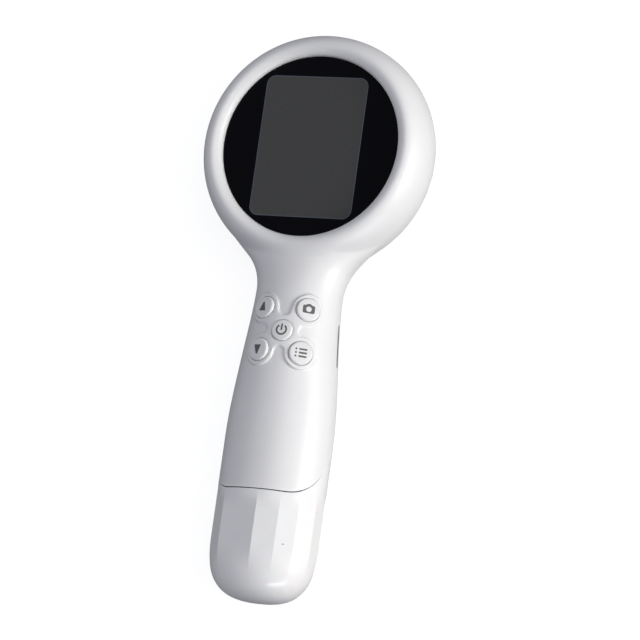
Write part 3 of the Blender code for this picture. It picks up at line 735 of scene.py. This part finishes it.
def shell_skins(front, opening_r, wall_r, wall_profile, columns):
    """One closed shell: outer skin, inner skin, rims and the wall of its opening."""
    sign = 1.0 if front else -1.0
    mesh = bmesh.new()
    for mirror in (1.0, -1.0):
        skins = []
        for inset, radius, count in ((0.0, opening_r, columns), (WALL, wall_r, INNER_COLUMNS)):
            x, along = strip_points(radius, inset, count)
            x, along = fit_to_seam(front, x * mirror, along, inset)
            up = skin_height(front, x, along, inset)
            up[:, -1] = 0.0
            points = (inner_skin if inset else outer_skin)(front, x, along, up)
            points[:, -1, 2] = MID_Z + sign * PARTING_GAP / 2
            skins.append(add_grid(mesh, points))
        outer, inner = skins
        add_strip(mesh, [row[-1] for row in outer], [row[-1] for row in inner])
        bridge_rows(mesh, outer[-1], inner[-1])
        round_opening = HEAD_ROWS + NECK_ROWS - 1
        wall = [[row[0] for row in outer[:round_opening]]]
        for radius, level in wall_profile:
            wall.append([])
            for vertex in wall[0]:
                out = Vector((vertex.co.x, vertex.co.y - HEAD_Y, 0)).normalized() * radius
                wall[-1].append(mesh.verts.new((out.x, HEAD_Y + out.y, MID_Z + level)))
        wall.append([row[0] for row in inner[:round_opening]])
        for near, far in zip(wall, wall[1:]):
            add_strip(mesh, near, far)
    return mesh


def port_cutter():
    centre = place(0.013, sum(PORT_ALONG) / 2, sum(PORT_UP) / 2)
    return block(PORT_ALONG[1] - PORT_ALONG[0], PORT_UP[1] - PORT_UP[0], 0.0012, 0.0, 0.012,
                 centre, FACING_X, steps=5)


def front_shell():
    wall = [(SEAT_R, LEDGE_TOP), (WINDOW_R, LEDGE_TOP)]
    mesh = shell_skins(True, SEAT_R, WINDOW_R, wall, 76)
    piece = finish_piece("front_shell_skin", mesh, "shell_white", ("front_shell",))
    tools = [port_cutter()]
    for x, along, radius in KEYS.values():
        edge = radius + KEY_GAP
        profile = [(0, -0.0060), (edge, -0.0060), (edge, 0.0040), (0, 0.0040)]
        tools.append(turned(profile, 72, *surface_frame(x, along)))
    cut_with(piece, tools)


def rear_shell():
    """Cut for the port, the screws, the rest foot and the sounder's five slots."""
    wall = [(FACE_HOLE_R, -HEAD_REAR + 0.0004)]
    mesh = shell_skins(False, FACE_HOLE_R, FACE_HOLE_R, wall, 56)
    piece = finish_piece("rear_shell_skin", mesh, "shell_white", ("rear_shell",))
    tools = [port_cutter()]
    for x, along, seat in SCREWS.values():
        surface = -float(rear_height(x, along))
        profile = [(0, -0.0300), (0.0060, -0.0300), (0.0037, surface - 0.0010),
                   (0.0031, surface + 0.0004), (0.0031, seat), (0, seat)]
        tools.append(turned(profile, 48, place(x, along, 0)))
    tools.append(block(0.0176, 0.0076, 0.0033, 0.0, MID_Z - 0.0189, (0, HEAD_Y - 0.1095, 0)))
    for row in range(-2, 3):
        length = 0.0090 - 0.0011 * row * row
        middle = (-0.0050, HEAD_Y - 0.0800 - 0.0018 * row, 0)
        tools.append(block(length, 0.0008, 0.00039, 0.0, MID_Z - 0.0125, middle, steps=4))
    cut_with(piece, tools)


# ----------------------------------------------------------- battery cover

def section_point(angle, along, inset=0.0):
    """(x, up) of the body's cross-section at an angle from +X."""
    x = half_width(along, inset) * np.cos(angle)
    in_front = np.mod(angle, 2 * math.pi) <= math.pi
    up = np.where(in_front, front_height(x, along, inset), -rear_height(x, along, inset))
    return x, np.where(np.abs(np.sin(angle)) < 1e-9, 0.0, up)


def facet_columns():
    """Angles round the cover and, for each, the two edges of its facet."""
    rows = []
    edges = [math.radians(edge) for edge in FACET_EDGES]
    for start, end in zip(edges, edges[1:] + [edges[0] + 2 * math.pi]):
        rows += [(start + (end - start) * share, start, end) for share in FACET_SHARES]
    return np.array(rows).T


def cover_points(inset, rows):
    """Points of one skin of the cover, from the seam to the last row before its tip."""
    angle, edge_before, edge_after = facet_columns()
    start = np.full(len(angle), 0.140)
    for _ in range(6):
        start = seam_along(section_point(angle, start)[1]) + SEAM_GAP / 2
    every = np.ones((1, len(angle)))
    share = np.linspace(0.0, 1.0, rows // 3)[:, None]
    middle = np.linspace(COVER_LEVEL, DOME_ALONG, rows // 3)[1:, None]
    turn = np.linspace(0.0, math.pi / 2, rows // 2)[1:-1, None]
    dome = DOME_ALONG + (END_ALONG - inset - DOME_ALONG) * np.sin(turn)
    along = np.concatenate([start + (COVER_LEVEL - start) * share, middle * every, dome * every])
    x, up = section_point(angle, along, inset)
    if inset == 0.0:
        x0, up0 = section_point(edge_before, along)
        x1, up1 = section_point(edge_after, along)
        share = np.hypot(x - x0, up - up0)
        share = share / np.maximum(share + np.hypot(x - x1, up - up1), 1e-12)
        flat = change(along, np.maximum(start, FACETS_FROM), FACETS_GROW)
        flat = flat * (1 - change(along, *FACETS_FADE))
        lip = 1 - SEAM_LIP * (1 - change(along, start, SEAM_LIP_WIDTH))
        x = (x + flat * (x0 + (x1 - x0) * share - x)) * lip
        up = (up + flat * (up0 + (up1 - up0) * share - up)) * lip
    return np.stack([x, HEAD_Y - along, MID_Z + up], axis=-1)


def battery_cover():
    mesh = bmesh.new()
    seam_rings = []
    for inset, rows in ((0.0, 72), (WALL, 30)):
        rings = add_grid(mesh, cover_points(inset, rows), filled=False)
        tip = new_ring(mesh, [place(0, END_ALONG - inset, 0)])
        join_rings(mesh, rings + [tip])
        seam_rings.append(rings[0])
    join_rings(mesh, seam_rings)
    finish_piece("battery_cover_skin", mesh, "cover_white", ("battery_cover",),
                 "battery_cover", sharp=40.0)


def mark_height(x, along):
    """Height of the flat facet that carries the release mark."""
    ends = [section_point(math.radians(edge), along) for edge in MARK_EDGES]
    (x0, up0), (x1, up1) = [(float(x_end), float(up_end)) for x_end, up_end in ends]
    return max(up0 + (up1 - up0) * (x - x0) / (x1 - x0), 0.0)


def release_mark():
    """A small plain triangle moulded on the cover beside its middle line."""
    x, along, size = 0.0139, 0.1667, 0.00055
    mesh = bmesh.new()
    corners = [(x + size * math.cos(math.radians(turn)), along - size * math.sin(math.radians(turn)))
               for turn in (90, 210, 330)]
    rings = [new_ring(mesh, [place(*corner, mark_height(*corner) + lift) for corner in corners])
             for lift in (0.00006, -0.0004)]
    join_rings(mesh, rings, capped=True)
    finish_piece("release_mark", mesh, "cover_white", body="battery_cover",
                 material="mark_print")


# ------------------------------------------------------------------ display

def display():
    low = GLASS_TOP - GLASS_THICK
    profile = [(0, low), (GLASS_R - 0.0002, low), (GLASS_R, low + 0.0002)]
    profile += fillet((GLASS_R - GLASS_ROUND, GLASS_TOP - GLASS_ROUND), GLASS_ROUND, 0, 90)
    profile += [(GLASS_R * 0.5, GLASS_TOP), (0, GLASS_TOP)]
    finish_piece("display_window", turned(profile, 160, place(0, 0, 0)), "display_glass",
                 ("display_glass",))
    at_top = place(*SCREEN_OFFSET, GLASS_TOP)
    finish_piece("screen", block(*SCREEN, SCREEN_CORNER, -0.0003, 0.00003, at_top), "lcd_grey")
    mesh = bmesh.new()
    rings = []
    for grow, z in ((0.0, -0.0003), (SCREEN_BORDER, -0.0003), (SCREEN_BORDER, 0.00002),
                    (0.0, 0.00002)):
        outline = rounded_rectangle(SCREEN[0] + 2 * grow, SCREEN[1] + 2 * grow,
                                    SCREEN_CORNER + grow)
        rings.append(new_ring(mesh, [at_top + Vector((x, y, z)) for x, y in outline]))
    join_rings(mesh, rings, closed=True)
    finish_piece("screen_border", mesh, "lcd_grey", material="screen_edge")


# --------------------------------------------------------------------- keys

def cap_height(radius, distance):
    """Height of a keycap's crown at a distance from its axis."""
    dome = KEY_RISE - KEY_DOME * (distance / radius) ** 2
    past = np.clip((distance - radius + KEY_ROUND) / KEY_ROUND, 0.0, 1.0)
    return dome - KEY_ROUND * (1 - np.sqrt(1 - past ** 2))


def keycap(name, radius, point, normal):
    profile = [(0, KEY_BOTTOM), (radius - 0.0001, KEY_BOTTOM), (radius, KEY_BOTTOM + 0.0001),
               (radius, cap_height(radius, radius) - 0.0002)]
    distances = [radius - KEY_ROUND * (1 - math.cos(math.pi / 2 * i / 14)) for i in range(15)]
    distances += [(radius - KEY_ROUND) * (1 - i / 12) for i in range(1, 12)]
    profile += [(distance, float(cap_height(radius, distance))) for distance in distances]
    profile.append((0, KEY_RISE))
    finish_piece(name + "_cap", turned(profile, 96, point, normal), "key_white", (name,), name,
                 sharp=60.0)


def print_grid(mesh, points, radius, point, normal):
    """Lay a (rows, columns, 2) grid of a symbol on a keycap as a thin closed film."""
    toward_head = (Vector((0, 1, 0)) - normal * normal.y).normalized()
    axes = np.array([toward_head.cross(normal), toward_head, normal])
    x, y = points[:, :, 0], points[:, :, 1]
    heights = cap_height(radius, np.hypot(x, y))
    stack_grids(mesh, [np.array(point) + np.stack([x, y, heights + lift], axis=-1) @ axes
                       for lift in (0.00002, -0.00012)])


def bar_grid(centre, width, height, columns=30, rows=6):
    """A bar with rounded ends."""
    x = np.linspace(-width / 2, width / 2, columns)
    blunt = min(height, width) / 2 * 0.7
    past = np.clip((np.abs(x) - (width / 2 - blunt)) / blunt, 0.0, 1.0)
    half = height / 2 - blunt * (1 - np.sqrt(1 - past ** 2 * 0.98))
    y = np.linspace(-1, 1, rows)
    return np.stack([centre[0] + np.tile(x, (rows, 1)),
                     centre[1] + y[:, None] * half[None, :]], axis=-1)


def polar_grid(radius, angle):
    return np.stack([radius * np.cos(angle)[None, :], radius * np.sin(angle)[None, :]], axis=-1)


def arc_grid(inner, outer, start, end, columns=48, rows=4):
    return polar_grid(np.linspace(inner, outer, rows)[:, None],
                      np.radians(np.linspace(start, end, columns)))


def triangle_grid(size, pointing, rows=12, columns=13):
    """An isosceles triangle with a blunt tip, pointing up (1) or down (-1)."""
    t = np.linspace(0.0, 1.0, rows)
    half = size * (0.09 + 0.36 * t) * np.where(t > 0.9, 1 - 0.6 * (t - 0.9), 1.0)
    y = pointing * size * (0.56 - 1.02 * t)
    across = np.linspace(-1, 1, columns)
    return np.stack([half[:, None] * across[None, :], np.tile(y[:, None], (1, columns))], axis=-1)


def camera_grid(columns=97, rows=7):
    """A camera's face round its open lens, with a low hump on top."""
    angle = np.linspace(0.0, 2 * math.pi, columns)
    half_wide, half_tall, power, lens = 0.00255, 0.00175, 6.0, 0.00115
    outline = (np.abs(np.cos(angle) / half_wide) ** power
               + np.abs(np.sin(angle) / half_tall) ** power) ** (-1 / power)
    outline += 0.00052 * np.exp(-((angle - math.pi / 2) / 0.50) ** 4)
    share = np.linspace(0.0, 1.0, rows)[:, None]
    return polar_grid(lens + (outline - lens) * share, angle)


SYMBOLS = {
    "key_up": [triangle_grid(0.0038, 1)],
    "key_down": [triangle_grid(0.0038, -1)],
    "key_power": [arc_grid(0.00165, 0.00238, 124, 416), bar_grid((0, 0.0011), 0.00070, 0.0029, 15)],
    "key_snapshot": [camera_grid()],
    "key_menu": [bar_grid((x, y), width, 0.00078) for y in (0.0015, 0.0, -0.0015)
                 for x, width in ((-0.0022, 0.0008), (0.0007, 0.0034))],
}


def keys():
    for name, (x, along, radius) in KEYS.items():
        point, normal = surface_frame(x, along)
        keycap(name, radius, point, normal)
        mesh = bmesh.new()
        for points in SYMBOLS[name]:
            print_grid(mesh, points, radius, point, normal)
        finish_piece(name + "_symbol", mesh, "key_white", body=name, material="symbol_print")


# ------------------------------------------------------------ port and rear

def side_x(along, up):
    """x of the right-hand side of the grip at a height."""
    depth = front_height(0.0, along) if up >= 0 else rear_height(0.0, along)
    share = min(abs(up) / float(depth), 1.0)
    return float(half_width(along)) * (1 - share ** SECTION_POWER) ** (1 / SECTION_POWER)


def port_flap():
    """A soft flap that follows the grip's side, with rounded corners and a pull groove."""
    gap = 0.00018
    corner = 0.0010
    long = PORT_ALONG[1] - PORT_ALONG[0] - 2 * gap
    tall = PORT_UP[1] - PORT_UP[0] - 2 * gap
    columns, rows = 61, 17
    layers = []
    for depth, shrink in ((0.0, 0.0003), (0.00015, 0.00012), (0.0012, 0.0), (0.0013, 0.0001)):
        points = np.empty((rows, columns, 3))
        for j, a in enumerate(np.linspace(-1, 1, columns)):
            off = a * (long / 2 - shrink)
            past = max(abs(off) - (long / 2 - shrink - corner), 0.0)
            half = tall / 2 - shrink - corner + math.sqrt(max(corner ** 2 - past ** 2, 1e-12))
            along = sum(PORT_ALONG) / 2 + off
            groove = 0.00022 * math.exp(-((off + 0.0078) / 0.0007) ** 2) if depth == 0.0 else 0.0
            for i, b in enumerate(np.linspace(-1, 1, rows)):
                up = sum(PORT_UP) / 2 + b * half
                points[i, j] = place(side_x(along, up) - depth - groove, along, up)
        layers.append(points)
    mesh = bmesh.new()
    stack_grids(mesh, layers)
    finish_piece("port_flap_skin", mesh, "flap_grey", ("port_flap",), "port_flap")


def treatment_face():
    low = -MID_Z
    centre = place(0, 0, 0)
    profile = [(0.0245 * i / 6, low) for i in range(7)]
    profile += fillet((FACE_R - 0.0010, low + 0.0010), 0.0010, 270, 360, 8)
    profile += [(FACE_R, -0.0162), (0.0282, -0.0162), (0.0285, -0.0159), (0.0285, -0.0148),
                (0.0243, -0.0148), (0.0243, FACE_BACK), (0, FACE_BACK)]
    finish_piece("treatment_face_disc", turned(profile, 144, centre), "aluminium",
                 ("treatment_face",))
    profile = fillet((0.02615, -0.0207), 0.00022, 180, 360, 6)
    profile += [(0.02637, -0.0180), (0.02593, -0.0180)]
    finish_piece("face_gap_seal", turned(profile, 144, centre, closed=True), "rubber_grey")


def rest_foot():
    """A rubber pad with a shallow groove round its underside."""
    low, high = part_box("rest_foot")
    centre = (low + high) / 2
    mesh = bmesh.new()
    rings = []
    for z, shrink in ((high.z, 0.0), (low.z + 0.0006, 0.0), (low.z + 0.00018, 0.00018),
                      (low.z, 0.0006), (low.z, 0.0011), (low.z + 0.00025, 0.0013),
                      (low.z + 0.00025, 0.0018), (low.z, 0.0020), (low.z, 0.0026)):
        outline = rounded_rectangle(high.x - low.x - 2 * shrink, high.y - low.y - 2 * shrink,
                                    max(0.0030 - shrink, 0.0003))
        rings.append(new_ring(mesh, [(centre.x + x, centre.y + y, z) for x, y in outline]))
    join_rings(mesh, rings, capped=True)
    finish_piece("rest_foot_pad", mesh, "rubber_grey", ("rest_foot",))


def screws():
    """Cross-slotted screws, their threads made of plain rings."""
    pitch = 0.0006
    end = 0.0030
    for name, (x, along, seat) in SCREWS.items():
        head = seat - 0.0003
        top = head - 0.0017
        centre = place(x, along, 0)
        profile = [(0, top), (0.0016, top)]
        profile += fillet((0.0017, top + 0.0010), 0.0010, 270, 360, 6)
        profile += [(0.0027, head), (0.0012, head)]
        for turn in range(int((end - head - 0.0006) / pitch)):
            start = head + 0.0004 + turn * pitch
            profile += [(0.0010, start), (0.0012, start + pitch / 2)]
        profile += [(0.0009, 0.0028), (0, end)]
        piece = finish_piece(name + "_body", turned(profile, 40, centre), "steel", (name,))
        cut_with(piece, [block(0.0030, 0.0006, 0.0002, top - 0.001, top + 0.0009, centre,
                               Matrix.Rotation(math.radians(angle), 4, "Z"), steps=3)
                         for angle in (20, 110)])


# --------------------------------------------------------------- inside

def end_face(node):
    """A node's box corners and the middle of its face towards the head."""
    low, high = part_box(node)
    return low, high, Vector(((low.x + high.x) / 2, high.y, (low.z + high.z) / 2))


def battery_cells():
    for side in ("left", "right"):
        node = "battery_cell_" + side
        low, high, centre = end_face(node)
        radius = (high.x - low.x) / 2
        length = high.y - low.y
        profile = [(0, 0.0002), (radius - 0.0022, 0.0002), (radius - 0.0020, 0.0)]
        profile += fillet((radius - 0.0008, 0.0008), 0.0008, 270, 360, 6)
        profile += [(radius, length - 0.0040), (radius - 0.0004, length - 0.0036),
                    (radius - 0.0004, length - 0.0028), (radius, length - 0.0024)]
        profile += fillet((radius - 0.0006, length - 0.0014), 0.0006, 0, 90, 6)
        profile += [(0.0042, length - 0.0010), (0.0036, length - 0.0004)]
        profile += fillet((0.0030, length - 0.0004), 0.0004, 0, 90, 4) + [(0, length)]
        finish_piece(node + "_wrapped", turned(profile, 80, centre, Vector((0, -1, 0))),
                     "cell_wrap", (node,))


def battery_tray():
    """Tray under the cells with a rounded, pocketed wall at either end."""
    low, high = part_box("battery_chassis")
    first_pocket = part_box("contact_plate_outer")[0].y + 0.008
    wall = 0.0014
    floor_top = low.z + 0.0011
    middle_x = (low.x + high.x) / 2
    wide = high.x - low.x
    base = block(wide, high.y - low.y, 0.0025, low.z, floor_top,
                 (middle_x, (low.y + high.y) / 2, 0))
    piece = finish_piece("battery_tray", base, "chassis_black", ("battery_chassis",))
    cut_with(piece, [block(wide, top - low.z, 0.0028, 0.0, wall,
                           (middle_x, start, (low.z + top) / 2), FACING_END)
                     for start, top in ((low.y + wall, high.z - 0.0020), (high.y, high.z))], "UNION")
    pockets = []
    for x in (-0.0075, 0.0075):
        pockets.append(block(0.0112, 0.0122, 0.0018, 0.0, 0.002,
                             (x, low.y + 0.0004, low.z + 0.0088), FACING_END))
        for y in np.linspace(first_pocket, high.y - 0.008, 4):
            pockets.append(block(0.0100, 0.0110, 0.0020, low.z - 0.001, floor_top + 0.001,
                                 (x, y, 0)))
    cut_with(piece, pockets)


def contact_plates():
    """Thin spring plates with rounded corners and a slot between the two cells."""
    for name in ("contact_plate_inner", "contact_plate_outer"):
        low, high, centre = end_face(name)
        tall = high.z - low.z
        mesh = block(high.x - low.x, tall, 0.0016, 0.0, high.y - low.y, centre, FACING_END)
        piece = finish_piece(name + "_strip", mesh, "nickel", (name,))
        cut_with(piece, [block(width, height, width * 0.49, 0.0, 0.003,
                               centre + Vector((x, 0.001, lift)), FACING_END, steps=4)
                         for x, lift, width, height in ((0.0, 0.0020, 0.0014, tall),
                                                        (-0.0070, 0.0, 0.0010, tall * 0.55),
                                                        (0.0070, 0.0, 0.0010, tall * 0.55))])


def contact_springs():
    """Conical wire springs behind the cells."""
    turns = 2.5
    steps = 96
    wire = 0.00022
    round_wire = [2 * math.pi * k / 10 for k in range(10)]
    for side in ("left", "right"):
        low, high, centre = end_face("cell_contact_" + side)
        mesh = bmesh.new()
        rings = []
        for i in range(steps + 1):
            share = i / steps
            angle = 2 * math.pi * turns * share
            out = Vector((math.cos(angle), 0, math.sin(angle)))
            middle = centre + out * ((high.x - low.x) / 2 - wire) * (1 - 0.28 * share)
            middle.y -= wire + (high.y - low.y - 2 * wire) * share
            rings.append(new_ring(mesh, [
                middle + wire * (out * math.cos(a) + Vector((0, math.sin(a), 0)))
                for a in round_wire]))
        join_rings(mesh, rings, capped=True)
        finish_piece("contact_spring_" + side, mesh, "nickel", ("cell_contact_" + side,))


def charging_socket():
    """Rolled metal shell with a rounded mouth, and the grooved tongue inside it."""
    low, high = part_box("charge_socket")
    centre = Vector((low.x, (low.y + high.y) / 2, (low.z + high.z) / 2))
    wide = high.y - low.y
    tall = high.z - low.z
    mesh = block(wide, tall, tall * 0.45, 0.0, high.x - low.x, centre, FACING_X, steps=10)
    piece = finish_piece("charging_socket_shell", mesh, "steel", ("charge_socket",))
    cut_with(piece, [block(wide - 0.0010, tall - 0.0010, tall * 0.32, 0.0015, 0.02, centre,
                           FACING_X, steps=10)])
    low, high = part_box("socket_tongue")
    middle_y = (low.y + high.y) / 2
    mesh = block(high.x - low.x, high.y - low.y, 0.0007, low.z, high.z,
                 ((low.x + high.x) / 2, middle_y, 0))
    piece = finish_piece("charging_socket_tongue", mesh, "switch_black", ("socket_tongue",))
    cut_with(piece, [block(0.0016, 0.0003, 0.00012, high.z - 0.00008, high.z + 0.001,
                           (high.x - 0.0012, middle_y + row * 0.0008, 0), steps=3)
                     for row in range(-3, 4)])


def dress_frame():
    """Give every CAD node that still shows its slot's procedural material."""
    slots = {entry["node"]: entry["material_slot"] for entry in frame["record"]["subparts"]}
    for node, piece in frame["nodes"].items():
        if not piece.hide_render:
            piece.data.materials.clear()
            piece.data.materials.append(MATERIALS[slots[node]])


# ------------------------------------------------------------ set and light

def floor():
    """A pale floor that looks evenly white from every side but throws little light up."""
    mesh = bmesh.new()
    bmesh.ops.create_grid(mesh, x_segments=4, y_segments=4, size=4.0)
    plane = new_object("floor", mesh)
    plane.location.z = -0.0002
    paint = Paint("pale_floor", 0.9, Specular_IOR_Level=0.0, Emission_Color=(1.0, 1.0, 1.0))
    seen = paint.node("LightPath").outputs["Is Camera Ray"]
    plane.data.materials.append(paint.finish(
        Base_Color=paint.ramp(paint.noise(3.0), [(0.3, (0.30, 0.30, 0.31)),
                                                 (0.7, (0.32, 0.32, 0.32))]),
        Emission_Strength=paint.map(seen, 0.0, 0.84, 0.0, 1.0)))


def area_light(name, position, target, size, power, colour):
    data = bpy.data.lights.new(name, "AREA")
    data.shape = "DISK"
    data.size = size
    data.energy = power
    data.color = colour
    light = bpy.data.objects.new(name, data)
    bpy.context.scene.collection.objects.link(light)
    light.location = position
    light.rotation_euler = (Vector(target) - Vector(position)).to_track_quat("-Z", "Y").to_euler()
    return light


def lights():
    world = bpy.data.worlds.new("studio")
    world.use_nodes = True
    background = world.node_tree.nodes["Background"]
    background.inputs["Color"].default_value = (0.88, 0.905, 1.0, 1.0)
    background.inputs["Strength"].default_value = 0.45
    bpy.context.scene.world = world
    area_light("key_right", (1.65, -0.10, 0.34), (0, 0, 0), 0.9, 28.5, (1.0, 0.982, 0.935))
    area_light("top_softbox", (0.80, 0.15, 1.80), (0, 0, 0), 1.4, 7.6, (1.0, 0.975, 0.93))
    strip_at, cover_end = Vector((0.61, -0.88, 0.150)), Vector((0.0135, -0.113, 0.034))
    streak = area_light("window_strip", strip_at, cover_end, 0.95, 5.5, (0.88, 0.94, 1.0))
    streak.data.shape = "RECTANGLE"
    streak.data.size_y = 0.17
    streak.visible_diffuse = False
    toward = (strip_at - cover_end).normalized()
    along = Vector((0.31, 0.18, -0.24))
    along = (along - toward * along.dot(toward)).normalized()
    turn = Matrix((along, toward.cross(along), toward)).transposed()
    streak.rotation_euler = turn.to_euler()


def camera():
    """A view from well above, to the right of the device and towards its grip's end."""
    data = bpy.data.cameras.new("camera")
    data.sensor_width = 36.0
    data.lens = 180.8
    data.clip_end = 20.0
    view = bpy.data.objects.new("camera", data)
    bpy.context.scene.collection.objects.link(view)
    backward = Vector((0.3574, -0.1891, 0.9146)).normalized()
    right = Vector((0.9320, 0.1351, -0.3363))
    right = (right - backward * right.dot(backward)).normalized()
    upward = backward.cross(right)
    target = Vector((0.00855, HEAD_Y - 0.0698, 0.0170))
    turn = Matrix((right, upward, backward)).transposed().to_4x4()
    view.matrix_world = Matrix.Translation(target + backward * 1.3290) @ turn
    bpy.context.scene.camera = view


camera()
floor()
lights()
bpy.context.scene.view_settings.view_transform = "Standard"
front_shell()
rear_shell()
battery_cover()
release_mark()
display()
keys()
port_flap()
treatment_face()
rest_foot()
screws()
battery_cells()
battery_tray()
contact_plates()
contact_springs()
charging_socket()
dress_frame()
